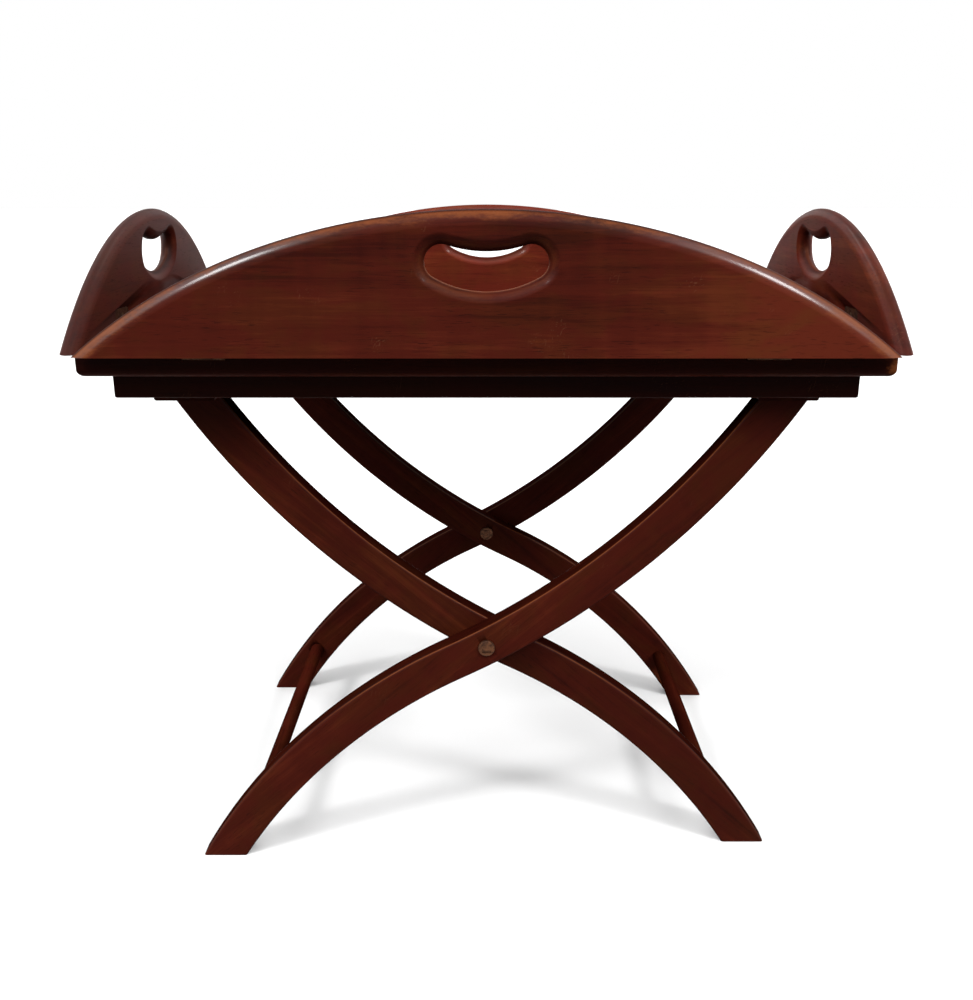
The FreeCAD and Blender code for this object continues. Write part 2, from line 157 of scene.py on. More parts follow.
def makeMahogany(values):
    tree, given, out = newGroup(
        "mahogany",
        [("Vector", "Vector", None), ("Dark", "Color", None), ("Middle", "Color", None),
         ("Light", "Color", None), ("Contrast", "Float", 1.0), ("Pores", "Float", 0.5),
         ("Shift", "Float", 0.0)],
        [("Color", "Color"), ("Pore Mask", "Float"), ("Height", "Float")])
    noises = {name: scaledNoise(tree, given["Vector"], *made) for name, made in values["noises"].items()}

    total = given["Shift"]
    for name, share in values["shares"].items():
        total = doMath(tree, "ADD", total, swing(tree, noises[name], share))
    total = doMath(tree, "ADD", doMath(tree, "MULTIPLY", total, given["Contrast"]), 0.5)
    lower = mixColours(tree, remap(tree, total, 0.0, 0.5), given["Dark"], given["Middle"])
    colour = mixColours(tree, remap(tree, total, 0.5, 1.0), lower, given["Light"])
    cloudy = remap(tree, noises["clouds"], *values["cloudSpan"])
    colour = mixColours(tree, cloudy, colour, values["cloudTint"], "MULTIPLY")

    poreMask = remap(tree, noises["pores"], *values["poreSpan"])
    poreMask = doMath(tree, "MULTIPLY", poreMask, given["Pores"], True)
    poreMask = doMath(tree, "MULTIPLY", poreMask, remap(tree, noises["patches"], *values["patchSpan"]))
    colour = mixColours(tree, poreMask, colour, values["poreColour"])
    fibreHeight = doMath(tree, "MULTIPLY", noises["fibres"], values["fibreHeight"])
    tree.links.new(colour, out["Color"])
    tree.links.new(poreMask, out["Pore Mask"])
    tree.links.new(doMath(tree, "SUBTRACT", fibreHeight, poreMask), out["Height"])
    return tree


# rubbed edges: polish that stays on the rounds, paler patches where hands wore it through,
# and a painted highlight line on arrises that face up
edgeWearAndLightValues = {
    "patches": ((18.0, 60.0, 60.0), 6.0, 0.75),
    "patchSwing": 1.6,
    "wearStart": 0.75,
    "wearSpan": 0.55,
    "onEdge": (0.0, 0.12),
    "crown": (0.50, 0.75, 1.0, 0.05),
    "upward": (-0.05, 0.40),
    "shoulderIn": (0.14, 0.28),
    "shoulderOut": (0.50, 0.70, 1.0, 0.15),
    "arris": (0.80, 1.0),
}


def makeEdgeWearAndLight(values):
    tree, given, out = newGroup(
        "edgeWearAndLight",
        [("Edge", "Float", 0.0), ("Vector", "Vector", None), ("Normal", "Vector", None),
         ("Reach", "Float", 0.5)],
        [("Wear", "Float"), ("Polish", "Float"), ("Arris", "Float")])
    edge = given["Edge"]
    patches = scaledNoise(tree, given["Vector"], *values["patches"])
    broken = doMath(tree, "ADD", edge, swing(tree, patches, values["patchSwing"]))
    start = doMath(tree, "SUBTRACT", values["wearStart"], given["Reach"])
    wear = remap(tree, broken, start, doMath(tree, "ADD", start, values["wearSpan"]))
    wear = doMath(tree, "MULTIPLY", wear, remap(tree, edge, *values["onEdge"]))
    wear = doMath(tree, "MULTIPLY", wear, remap(tree, edge, *values["crown"]), True)
    facingUp = remap(tree, partOf(tree, given["Normal"], 2), *values["upward"])
    shoulder = doMath(tree, "MULTIPLY", remap(tree, edge, *values["shoulderIn"]),
                      remap(tree, edge, *values["shoulderOut"]))
    # Arris: a painted highlight line on upward-facing arrises
    arris = remap(tree, edge, *values["arris"])
    tree.links.new(wear, out["Wear"])
    tree.links.new(doMath(tree, "MULTIPLY", shoulder, facingUp), out["Polish"])
    tree.links.new(doMath(tree, "MULTIPLY", arris, facingUp), out["Arris"])
    return tree


# how far a square-cut piece's surface turns from its flat faces
squareValues = {"flatToRound": (0.99, 0.75)}


def makeSquareEdge(values):
    tree, given, out = newGroup("squareEdge", [("Normal", "Vector", None)], [("Edge", "Float")])
    size = addNode(tree, "ShaderNodeVectorMath", {"operation": "ABSOLUTE"}, {0: given["Normal"]})
    parts = addNode(tree, "ShaderNodeSeparateXYZ", None, {0: size.outputs[0]}).outputs
    largest = doMath(tree, "MAXIMUM", doMath(tree, "MAXIMUM", parts[0], parts[1]), parts[2])
    tree.links.new(remap(tree, largest, *values["flatToRound"]), out["Edge"])
    return tree


# small scuffs of use
scuffValues = {
    "ways": ((24.0, 0.0), (-38.0, 3.7), (71.0, 8.1)),  # turn, offset
    "tilt": 0.6,
    "lines": ((35.0, 750.0, 750.0), 0.0),
    "lineSpan": (0.72, 0.80),
    "sparse": ((22.0, 22.0, 22.0), 2.0),
    "sparseSpan": (0.60, 0.72),
}


def makeScuffs(values):
    tree, given, out = newGroup("scuffs", [("Vector", "Vector", None), ("Amount", "Float", 0.5)],
                                [("Mask", "Float")])
    total = None
    for turnDeg, offset in values["ways"]:
        turn = math.radians(turnDeg)
        rotated = addNode(tree, "ShaderNodeMapping", None,
                          {"Vector": given["Vector"], "Location": (offset, offset, offset),
                           "Rotation": (turn, turn * values["tilt"], turn)})
        thin = scaledNoise(tree, rotated.outputs[0], *values["lines"])
        lines = remap(tree, thin, *values["lineSpan"])
        total = lines if total is None else doMath(tree, "MAXIMUM", total, lines)
    sparse = scaledNoise(tree, given["Vector"], *values["sparse"])
    seen = doMath(tree, "MULTIPLY", total, remap(tree, sparse, *values["sparseSpan"]))
    tree.links.new(doMath(tree, "MULTIPLY", seen, given["Amount"], True), out["Mask"])
    return tree


# dull patches and grime on old brass
tarnishValues = {
    "cloud": ((1.0, 1.0, 1.0), 5.0, 0.6),
    "cloudSpan": (0.38, 0.64),
    "specks": ((6.0, 6.0, 6.0), 2.0),
    "speckSpan": (0.58, 0.70),
    "rough": (0.34, 0.62),
}


def makeTarnish(values):
    tree, given, out = newGroup(
        "tarnish",
        [("Vector", "Vector", None), ("Bright", "Color", None), ("Dull", "Color", None),
         ("Scale", "Float", 160.0)],
        [("Color", "Color"), ("Rough", "Float"), ("Height", "Float")])
    scaled = addNode(tree, "ShaderNodeVectorMath", {"operation": "SCALE"},
                     {0: given["Vector"], "Scale": given["Scale"]}).outputs[0]
    cloud = scaledNoise(tree, scaled, *values["cloud"])
    specks = scaledNoise(tree, scaled, *values["specks"])
    dull = doMath(tree, "ADD", remap(tree, cloud, *values["cloudSpan"]),
                  remap(tree, specks, *values["speckSpan"]), True)
    tree.links.new(mixColours(tree, dull, given["Bright"], given["Dull"]), out["Color"])
    tree.links.new(remap(tree, dull, 0.0, 1.0, *values["rough"]), out["Rough"])
    tree.links.new(specks, out["Height"])
    return tree


mahogany = makeMahogany(grainValues)
edgeWearAndLight = makeEdgeWearAndLight(edgeWearAndLightValues)
squareEdge = makeSquareEdge(squareValues)
scuffs = makeScuffs(scuffValues)
tarnish = makeTarnish(tarnishValues)
print("shader groups made")

# wood: tones, polish and wear, painted shade and highlights, with where each begins and ends; a piece changes
# what differs
woodValues = {
    "dark": (0.031, 0.0044, 0.0028),
    "middle": (0.061, 0.0085, 0.0045),
    "light": (0.100, 0.0160, 0.0074),
    "wornAndLit": (0.200, 0.055, 0.017),
    "scuff": (0.200, 0.085, 0.045),
    "contrast": 0.9,
    "pores": 0.50,
    "poreRough": 0.2,
    "scuffs": 0.25,
    "specular": 0.03,
    "roughness": 0.44,
    "coat": 0.42,
    "coatRoughness": 0.15,
    "bump": 0.10,
    "bumpDepth": 0.0006,
    "wear": 0.55,
    "reach": 0.30,
    "wornSpan": (0.1, 0.7),
    "wornPolish": 0.6,
    "paleEnd": 0.0,  # toward +X
    "palePlace": (0.06, 0.30),
    "wornEnds": 0.0,
    "endsPlace": (0.23, 0.34),
    "wornMiddle": 0.0,
    "middlePlace": (0.21, 0.12),
    "dullMiddle": 0.0,
    "dullPlace": (0.12, 0.19),
    "rimShare": (0.7, 0.95),  # polish values of lips and arrises below, of rims above
    "lipWear": 0.2,
    # lipLine, with lineFade below: a painted highlight line in the worn colour on upward-facing arrises,
    # partly wear
    "lipLine": 0.6,
    "lineFade": None,  # from and to height, share that stays below
    # darkRim and darkSides are painted shade, on the rim's crown and on side faces; darkLip makes the hole's
    # lips darker
    "darkRim": 0.0,
    "darkLip": 0.0,
    "darkeningSpan": (0.30, 0.75),
    "darkSides": 0.0,
    "sideTurn": (0.6, 0.1),
    "faceTurn": (0.6, 0.95),
    "uprightTurn": (0.9, 0.3),
    # painted light: a lit patch on a corner, in the worn colour
    "paintedLitCorner": None,  # the corner's place
    "cornerReach": (0.013, 0.005),
    "cornerGrain": ((260.0, 260.0, 260.0), 3.0),
    "cornerRagged": 0.012,
}
black = (0.0, 0.0, 0.0, 1.0)


# shade scales a colour: partly a piece's own tone, partly painted light and shade for the light on that piece
def shaded(colour, shade):
    return tuple(part * shade for part in colour) + (1.0,)


# edge is "mesh" for pieces that carry edge and polish values, "square" for square-cut ones,
# None for round bars
def makeWood(name, turnDeg, offset, edge, shade, changes):
    values = dict(woodValues, **changes)
    material, tree, shader = newMaterial(name)
    places = addNode(tree, "ShaderNodeTexCoord").outputs
    along = addNode(tree, "ShaderNodeMapping", None,
                    {"Vector": places["Object"], "Location": offset,
                     "Rotation": [math.radians(turn) for turn in turnDeg]}).outputs[0]
    inputs = {"Vector": along, "Contrast": values["contrast"], "Pores": values["pores"],
              "Dark": shaded(values["dark"], shade), "Middle": shaded(values["middle"], shade),
              "Light": shaded(values["light"], shade)}
    reach = values["reach"]
    coat = values["coat"]
    specular = values["specular"]
    if values["paleEnd"]:
        across = partOf(tree, places["Object"], 0)
        inputs["Shift"] = remap(tree, across, *values["palePlace"], 0.0, values["paleEnd"])
        fromMiddle = doMath(tree, "ABSOLUTE", across)
        ends = remap(tree, fromMiddle, *values["endsPlace"], reach, reach + values["wornEnds"])
        middle = remap(tree, fromMiddle, *values["middlePlace"], 0.0, values["wornMiddle"])
        reach = doMath(tree, "ADD", ends, middle)
        coat = remap(tree, fromMiddle, *values["dullPlace"], coat * (1.0 - values["dullMiddle"]), coat)
    wood = placeGroup(tree, mahogany, inputs)
    colour = wood["Color"]

    if edge == "mesh":
        edgeValue = addNode(tree, "ShaderNodeAttribute", {"attribute_name": "edge"}).outputs["Fac"]
        share = addNode(tree, "ShaderNodeAttribute", {"attribute_name": "polish"}).outputs["Fac"]
        coat = doMath(tree, "MULTIPLY", share, coat)
        lipWear = values["lipWear"] * values["wear"]
        wearShare = remap(tree, share, *values["rimShare"], lipWear, values["wear"])
        lineShare = remap(tree, share, *values["rimShare"], values["lipLine"], 0.0)
        if values["lineFade"]:
            height = partOf(tree, places["Object"], 2)
            lineShare = doMath(tree, "MULTIPLY", lineShare, remap(tree, height, *values["lineFade"]))
        # painted shade on the faces that face neither front nor back
        if values["darkSides"]:
            facing = doMath(tree, "ABSOLUTE", partOf(tree, places["Normal"], 1))
            darkening = remap(tree, facing, *values["sideTurn"], 0.0, values["darkSides"])
            specular = remap(tree, facing, *values["faceTurn"], 0.0, specular)
        else:
            # painted shade on the rim's crown, and darker hole lips
            darkening = remap(tree, share, *values["rimShare"], values["darkLip"], values["darkRim"])
            darkening = doMath(tree, "MULTIPLY", darkening, remap(tree, edgeValue, *values["darkeningSpan"]))
    elif edge == "square":
        edgeValue = placeGroup(tree, squareEdge, {"Normal": places["Normal"]})["Edge"]
        wearShare = values["wear"]
        # painted shade on the upright side faces
        upright = doMath(tree, "ABSOLUTE", partOf(tree, places["Normal"], 2))
        darkening = remap(tree, upright, *values["uprightTurn"], 0.0, values["darkSides"])

    if edge:
        edgeMasks = placeGroup(tree, edgeWearAndLight, {"Edge": edgeValue, "Vector": along,
                                               "Normal": places["Normal"], "Reach": reach})
        wornAndLit = doMath(tree, "MULTIPLY", edgeMasks["Wear"], wearShare)
        # painted highlight line on upward-facing arrises, added to the wear
        if edge == "mesh":
            wornAndLit = doMath(tree, "MAXIMUM", wornAndLit, doMath(tree, "MULTIPLY", edgeMasks["Arris"], lineShare))
        # painted light on a corner
        if values["paintedLitCorner"]:
            away = addNode(tree, "ShaderNodeVectorMath", {"operation": "DISTANCE"},
                           {0: places["Object"], 1: values["paintedLitCorner"]}).outputs["Value"]
            ragged = scaledNoise(tree, places["Object"], *values["cornerGrain"])
            away = doMath(tree, "ADD", away, swing(tree, ragged, values["cornerRagged"]))
            wornAndLit = doMath(tree, "MAXIMUM", wornAndLit, remap(tree, away, *values["cornerReach"]))
        # darkening: painted shade, and the darker hole lips
        colour = mixColours(tree, darkening, colour, black)
        colour = mixColours(tree, wornAndLit, colour, shaded(values["wornAndLit"], shade))
        coat = doMath(tree, "MULTIPLY", edgeMasks["Polish"], coat)
        stillPolished = remap(tree, wornAndLit, *values["wornSpan"], 1.0, values["wornPolish"])
        coat = doMath(tree, "MULTIPLY", coat, stillPolished)
        setInputs(tree, shader, {"Coat Weight": coat, "Coat Roughness": values["coatRoughness"]})

    scuffed = placeGroup(tree, scuffs, {"Vector": places["Object"], "Amount": values["scuffs"]})["Mask"]
    colour = mixColours(tree, scuffed, colour, shaded(values["scuff"], shade))
    rough = doMath(tree, "MULTIPLY", wood["Pore Mask"], values["poreRough"])
    rough = doMath(tree, "ADD", rough, values["roughness"])
    bump = addNode(tree, "ShaderNodeBump", None,
                   {"Height": wood["Height"], "Strength": values["bump"], "Distance": values["bumpDepth"]})
    setInputs(tree, shader, {"Base Color": colour, "Roughness": rough, "Normal": bump.outputs[0],
                             "Specular IOR Level": specular})
    return material


metalValues = {"bump": 0.15, "bumpDepth": 0.0003}


def makeMetal(name, bright, dull, metallic, specular, scale):
    material, tree, shader = newMaterial(name)
    places = addNode(tree, "ShaderNodeTexCoord").outputs
    aged = placeGroup(tree, tarnish, {"Vector": places["Object"], "Bright": bright + (1.0,),
                                      "Dull": dull + (1.0,), "Scale": scale})
    bump = addNode(tree, "ShaderNodeBump", None, {"Height": aged["Height"], "Strength": metalValues["bump"],
                                                  "Distance": metalValues["bumpDepth"]})
    setInputs(tree, shader, {"Base Color": aged["Color"], "Roughness": aged["Rough"],
                             "Normal": bump.outputs[0], "Metallic": metallic, "Specular IOR Level": specular})
    return material


# mesh helpers

def bezier(start, leave, arrive, end, count):
    points = []
    for step in range(count + 1):
        t = step / count
        s = 1.0 - t
        weights = (s ** 3, 3 * s * s * t, 3 * s * t * t, t ** 3)
        points.append(tuple(sum(w * p[axis] for w, p in zip(weights, (start, leave, arrive, end)))
                            for axis in range(2)))
    return points


def finishMesh(name, bm, sharpDeg):
    bmesh.ops.recalc_face_normals(bm, faces=bm.faces)
    mesh = bpy.data.meshes.new(name)
    bm.to_mesh(mesh)
    bm.free()
    mesh.shade_smooth()
    mesh.set_sharp_from_angle(angle=math.radians(sharpDeg))
    piece = bpy.data.objects.new(name, mesh)
    bpy.context.scene.collection.objects.link(piece)
    return piece


def cutAway(piece, cutters):
    for cutter in cutters:
        cut = piece.modifiers.new("cut", "BOOLEAN")
        cut.operation = "DIFFERENCE"
        cut.solver = "EXACT"
        cut.object = cutter
    bpy.context.view_layer.update()
    graph = bpy.context.evaluated_depsgraph_get()
    whole = piece.data
    piece.data = bpy.data.meshes.new_from_object(piece.evaluated_get(graph))
    piece.data.name = whole.name
    piece.modifiers.clear()
    bpy.data.meshes.remove(whole)
    for cutter in cutters:
        shape = cutter.data
        bpy.data.objects.remove(cutter)
        bpy.data.meshes.remove(shape)


# shapes that are only cut away from others
cutterValues = {"segments": 40, "sharpDeg": 30.0}


def makePrism(name, outlines, low, high, transform):
    bm = bmesh.new()
    for outline in outlines:
        bottom = [bm.verts.new((x, y, low)) for x, y in outline]
        top = [bm.verts.new((x, y, high)) for x, y in outline]
        bm.faces.new(bottom)
        bm.faces.new(top)
        for i in range(len(outline)):
            j = (i + 1) % len(outline)
            bm.faces.new((bottom[i], bottom[j], top[j], top[i]))
    bm.transform(transform)
    return finishMesh(name, bm, cutterValues["sharpDeg"])


def makeRods(name, places, radius, length, transform):
    bm = bmesh.new()
    for place, turn in places:
        bmesh.ops.create_cone(bm, cap_ends=True, segments=cutterValues["segments"], radius1=radius,
                              radius2=radius, depth=length, matrix=Matrix.Translation(place) @ turn)
    bm.transform(transform)
    return finishMesh(name, bm, cutterValues["sharpDeg"])


# flaps: D-shaped boards with a broad rounded rim and a kidney-shaped hand hole, let in for their hinges
flapValues = {
    "ovalLength": 0.990,
    "ovalWidth": 0.787,
    "thickness": 0.0185,
    "gap": 0.00002,
    "leanDeg": 3.0,
    "rimCreaseDeg": 16.0,
    "rimHandles": (0.73, 0.40, 0.0),
    "rimSteps": 9,
    "rimPoints": 180,
    "holeLength": 0.109,
    "holeBase": 0.0575,
    "holeHeight": 0.0405,
    "lobeShare": 0.37,  # of the hole's height
    "dipShare": 0.155,
    "holePoints": {"lower": 44, "lobe": 26, "dip": 30},
    "lipWidth": 0.0095,
    "lipCreaseDeg": 28.0,
    "lipHandles": (0.40, 0.42, 0.16),
    "lipLand": 0.0022,
    "lipSteps": 7,
    "lipPolish": 0.6,
    "margin": 0.0008,
    "hingeWidth": 0.039,
    "hingeRoom": 0.00035,
    "leafLength": 0.030,
    "leafDepth": 0.002,
    "leafCorner": 0.005,
    "leafCornerSteps": 6,
    "knuckleRoom": 0.00365,
    "cutOverrun": 0.004,
    "sharpDeg": 32.0,
}
boardHalf = {"x": (boardHigh.x - boardLow.x) / 2, "y": (boardHigh.y - boardLow.y) / 2}
longSide = {"distance": boardHalf["y"], "halfChord": boardHalf["x"], "out": flapValues["ovalWidth"] / 2,
            "hinge": 0.254, "rimWidth": 0.0135}
shortSide = {"distance": boardHalf["x"], "halfChord": boardHalf["y"], "out": flapValues["ovalLength"] / 2,
             "hinge": 0.135, "rimWidth": 0.0110}
flapSides = {
    "front": dict(longSide, turn=180.0),
    "back": dict(longSide, turn=0.0),
    "left": dict(shortSide, turn=90.0),
    "right": dict(shortSide, turn=-90.0),
}


# from the face to the middle of the thickness: (inset from the edge, depth, edge value)
def edgeProfile(width, depth, creaseDeg, handles, land, steps, margin):
    crease = math.radians(creaseDeg)
    start = (width, 0.0)
    leave = (width - handles[0] * width * math.cos(crease), handles[0] * width * math.sin(crease))
    end = (0.0, depth - land / 2)
    arrive = (handles[2] * width, end[1] - handles[1] * depth)
    half = [(width + margin, 0.0, 0.0)]
    for step, (inset, down) in enumerate(bezier(start, leave, arrive, end, steps)):
        half.append((inset, down, step / steps))
    return half


def throughThickness(half, thickness):
    mirrored = [(inset, thickness - down, edge) for inset, down, edge in reversed(half)]
    if math.isclose(half[-1][1], mirrored[0][1], abs_tol=1e-6):
        mirrored = mirrored[1:]
    return half + mirrored


# points of the hand hole's outline with their outward directions
def holeOutline(values):
    lobe = values["lobeShare"] * values["holeHeight"]
    dip = values["dipShare"] * values["holeHeight"]
    lobeX = values["holeLength"] / 2 - lobe
    lobeY = values["holeBase"] + values["holeHeight"] - lobe
    rise = lobeY - values["holeBase"]
    crown = lobe - dip
    lowerRadius = (lobeX ** 2 + rise ** 2 - lobe ** 2) / (2 * (rise - lobe))
    dipRadius = (lobeX ** 2 + crown ** 2 - lobe ** 2) / (2 * dip)
    lowerY = values["holeBase"] + lowerRadius
    dipY = lobeY + crown + dipRadius
    lowerTurn = math.atan2(lobeY - lowerY, lobeX)
    upperTurn = math.atan2(dipY - lobeY, -lobeX)
    dipTurn = upperTurn - math.pi
    points = values["holePoints"]
    arcs = [
        ((0.0, lowerY), lowerRadius, -math.pi - lowerTurn, lowerTurn, points["lower"], 1.0),
        ((lobeX, lobeY), lobe, lowerTurn, upperTurn, points["lobe"], 1.0),
        ((0.0, dipY), dipRadius, dipTurn, -math.pi - dipTurn, points["dip"], -1.0),
        ((-lobeX, lobeY), lobe, math.pi - upperTurn, math.pi - lowerTurn, points["lobe"], 1.0),
    ]
    outline = []
    for centre, radius, start, end, count, side in arcs:
        for step in range(count):
            turn = start + (end - start) * step / count
            way = (math.cos(turn), math.sin(turn))
            point = (centre[0] + way[0] * radius, centre[1] + way[1] * radius)
            outline.append((point, (way[0] * side, way[1] * side)))
    return outline


# a hinge leaf's place, rounded at its far corners and running past the flap's lower edge
def leafOutline(values, middle):
    half = values["hingeWidth"] / 2 + values["hingeRoom"]
    end = values["leafLength"] + values["hingeRoom"]
    corner = values["leafCorner"]
    steps = values["leafCornerSteps"]
    outline = [(middle - half, -values["cutOverrun"]), (middle + half, -values["cutOverrun"])]
    for side, start in ((1.0, 0.0), (-1.0, 90.0)):
        for step in range(steps + 1):
            turn = math.radians(start + 90.0 * step / steps)
            outline.append((middle + side * (half - corner) + corner * math.cos(turn),
                            end - corner + corner * math.sin(turn)))
    return outline


def buildFlap(name, side, values):
    thickness = values["thickness"]
    halfAlong = side["halfChord"] / math.sqrt(1.0 - (side["distance"] / side["out"]) ** 2)
    bm = bmesh.new()
    edgeLayer = bm.verts.layers.float.new("edge")
    polishLayer = bm.verts.layers.float.new("polish")

    def addPoint(x, y, z, edge, polish):
        vert = bm.verts.new((x, y, z))
        vert[edgeLayer] = edge
        vert[polishLayer] = polish
        return vert

    rimHalf = edgeProfile(side["rimWidth"], thickness / 2, values["rimCreaseDeg"], values["rimHandles"], 0.0,
                          values["rimSteps"], values["margin"])
    rim = []
    count = values["rimPoints"]
    for inset, down, edge in throughThickness(rimHalf, thickness):
        along, out = halfAlong - inset, side["out"] - inset
        reach = math.acos((side["distance"] + values["gap"]) / out)
        turns = [reach * (2.0 * step / count - 1.0) for step in range(count + 1)]
        places = [(along * math.sin(turn), out * math.cos(turn) - side["distance"]) for turn in turns]
        rim.append([addPoint(x, y, -down, edge, 1.0) for x, y in places])
    for first, second in zip(rim, rim[1:]):
        for step in range(count):
            bm.faces.new((first[step], first[step + 1], second[step + 1], second[step]))
    bm.faces.new([ring[0] for ring in rim] + [ring[-1] for ring in reversed(rim)])

    lipHalf = edgeProfile(values["lipWidth"], thickness / 2, values["lipCreaseDeg"], values["lipHandles"],
                          values["lipLand"], values["lipSteps"], values["margin"])
    outline = holeOutline(values)
    lips = [[addPoint(point[0] + way[0] * inset, point[1] + way[1] * inset, -down, edge, values["lipPolish"])
             for point, way in outline] for inset, down, edge in throughThickness(lipHalf, thickness)]
    for first, second in zip(lips, lips[1:]):
        for step in range(len(outline)):
            after = (step + 1) % len(outline)
            bm.faces.new((first[step], first[after], second[after], second[step]))

    for ring, lip in ((rim[0], lips[0]), (rim[-1], lips[-1])):
        border = [bm.edges.get(pair) for pair in zip(ring, ring[1:])]
        border.append(bm.edges.get((ring[-1], ring[0])))
        border += [bm.edges.get(pair) for pair in zip(lip, lip[1:] + lip[:1])]
        bmesh.ops.triangle_fill(bm, use_beauty=True, use_dissolve=False, edges=border,
                                normal=(0.0, 0.0, 1.0))

    raised = Matrix.Rotation(math.radians(90.0 + values["leanDeg"]), 4, "X")
    moved = Matrix.Translation((0.0, side["distance"], boardHigh.z))
    transform = Matrix.Rotation(math.radians(side["turn"]), 4, "Z") @ moved @ raised
    bm.transform(transform)
    flap = finishMesh(name, bm, values["sharpDeg"])

    hinges = (-side["hinge"], side["hinge"])
    mortises = makePrism("mortises", [leafOutline(values, middle) for middle in hinges],
                         -values["leafDepth"], values["cutOverrun"], transform)
    acrossX = Matrix.Rotation(math.radians(90.0), 4, "Y")
    scoops = makeRods("scoops", [((middle, 0.0, 0.0), acrossX) for middle in hinges], values["knuckleRoom"],
                      values["hingeWidth"] + 2 * values["hingeRoom"], transform)
    cutAway(flap, [mortises, scoops])
    return flap


flaps = {}
for sideName, side in flapSides.items():
    flap = buildFlap(sideName + "Flap", side, flapValues)
    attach(flap, sideName + "_flap")
    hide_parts("flap_" + sideName)
    flaps[sideName] = flap
print("flaps built:", [len(flap.data.polygons) for flap in flaps.values()])

# legs: S-curved bars with softened arrises, cut off flat at the floor and under the rail
legValues = {
    "width": 0.040,
    "thickness": 0.0236,
    "arris": 0.0026,
    "arrisSteps": 6,
    "polish": 0.6,
    "bendSlopeDeg": 25.9,
    "bend": (-0.0315, 0.2306),
    "top": (0.3085, 0.5035),
    "foot": (-0.3085, 0.0),
    "overrun": 0.030,
    "stations": 90,
    "pivotHeight": 0.2465,
    "boltRoom": 0.00406,
    "socketRadius": 0.0086,
    "socketDepth": 0.014,
    "stretcherHeight": 0.061,
    "stretcherOffset": 0.003,
    "pivotHoleLength": 0.05,
    "sharpDeg": 35.0,
}


# places along the leg's middle line with their slopes, from below the floor to above the rail's underside
def legLine(values):
    slope = math.radians(values["bendSlopeDeg"])
    bend = Vector(values["bend"])
    normal = Vector((-math.sin(slope), math.cos(slope)))
    half = values["width"] / 2
    toTop = Vector(values["top"]) - bend
    toFoot = Vector(values["foot"]) - bend
    upper = (toTop.dot(toTop) - half ** 2) / (2 * toTop.dot(normal) + values["width"])
    lower = (toFoot.dot(toFoot) - half ** 2) / (values["width"] - 2 * toFoot.dot(normal))

    def headingAt(radius, rise):
        return math.acos(math.cos(slope) - rise / radius)

    topTurn = headingAt(upper, values["top"][1] + values["overrun"] - bend.y)
    footTurn = headingAt(lower, bend.y + values["overrun"])
    line = []
    count = values["stations"]
    for step in range(count, 0, -1):
        turn = slope + (footTurn - slope) * step / count
        line.append((bend - normal * lower - Vector((math.sin(turn), -math.cos(turn))) * lower, turn))
    for step in range(count + 1):
        turn = slope + (topTurn - slope) * step / count
        line.append((bend + normal * upper + Vector((math.sin(turn), -math.cos(turn))) * upper, turn))
    stretcherTurn = headingAt(lower, bend.y - values["stretcherHeight"])
    stretcherX = (bend - normal * lower).x - lower * math.sin(stretcherTurn) - values["stretcherOffset"]
    return line, stretcherX


# rounded section: (across the leg's width, through its thickness, edge value)
def legSection(values):
    section = []
    arris = values["arris"]
    for number, (u, v) in enumerate(((1, 1), (-1, 1), (-1, -1), (1, -1))):
        for step in range(values["arrisSteps"] + 1):
            turn = math.radians(90.0 * (number + step / values["arrisSteps"]))
            section.append((u * (values["width"] / 2 - arris) + arris * math.cos(turn),
                            v * (values["thickness"] / 2 - arris) + arris * math.sin(turn),
                            math.sin(math.pi * step / values["arrisSteps"])))
    return section


def buildLeg(name, yFrom, yTo, halfTurned, values):
    line, stretcherX = legLine(values)
    middle = (yFrom + yTo) / 2
    bm = bmesh.new()
    edgeLayer = bm.verts.layers.float.new("edge")
    polishLayer = bm.verts.layers.float.new("polish")
    rings = []
    for place, turn in line:
        ring = []
        for across, through, edge in legSection(values):
            x = place.x - math.sin(turn) * across
            z = place.y + math.cos(turn) * across
            vert = bm.verts.new((x, middle + through, z))
            vert[edgeLayer] = edge
            vert[polishLayer] = values["polish"]
            ring.append(vert)
        rings.append(ring)
    for first, second in zip(rings, rings[1:]):
        for step in range(len(first)):
            after = (step + 1) % len(first)
            bm.faces.new((first[step], first[after], second[after], second[step]))
    bm.faces.new(rings[0])
    bm.faces.new(rings[-1])
    for height, way in ((0.0, -1.0), (values["top"][1], 1.0)):
        cut = bmesh.ops.bisect_plane(bm, geom=bm.verts[:] + bm.edges[:] + bm.faces[:],
                                     plane_co=(0, 0, height), plane_no=(0, 0, way), clear_outer=True)
        border = [item for item in cut["geom_cut"] if isinstance(item, bmesh.types.BMEdge)]
        bmesh.ops.contextual_create(bm, geom=border)
    turned = Matrix.Rotation(math.pi if halfTurned else 0.0, 4, "Z")
    bm.transform(turned)
    leg = finishMesh(name, bm, values["sharpDeg"])
    acrossY = Matrix.Rotation(math.radians(90.0), 4, "X")
    inner = yTo if middle < 0 else yFrom
    pivot = makeRods("pivotHole", [((0.0, middle, values["pivotHeight"]), acrossY)], values["boltRoom"],
                     values["pivotHoleLength"], turned)
    socket = makeRods("socket", [((stretcherX, inner, values["stretcherHeight"]), acrossY)],
                      values["socketRadius"], 2 * values["socketDepth"], turned)
    cutAway(leg, [pivot, socket])
    return leg


legs = {}
for legName, halfTurned in (("outer_leg_front", False), ("outer_leg_rear", False),
                            ("inner_leg_front", True), ("inner_leg_rear", True)):
    low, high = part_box(legName)
    yFrom, yTo = (-high.y, -low.y) if halfTurned else (low.y, high.y)
    leg = buildLeg(legName.replace("_", ""), yFrom, yTo, halfTurned, legValues)
    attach(leg, legName[:5] + "_frame")
    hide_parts(legName)
    legs[legName] = leg
print("legs built:", [len(leg.data.polygons) for leg in legs.values()])


# finishes

def dress(piece, material):
    piece.data.materials.clear()
    piece.data.materials.append(material)


alongX, alongY = (0.0, 0.0, 0.0), (0.0, 0.0, 90.0)
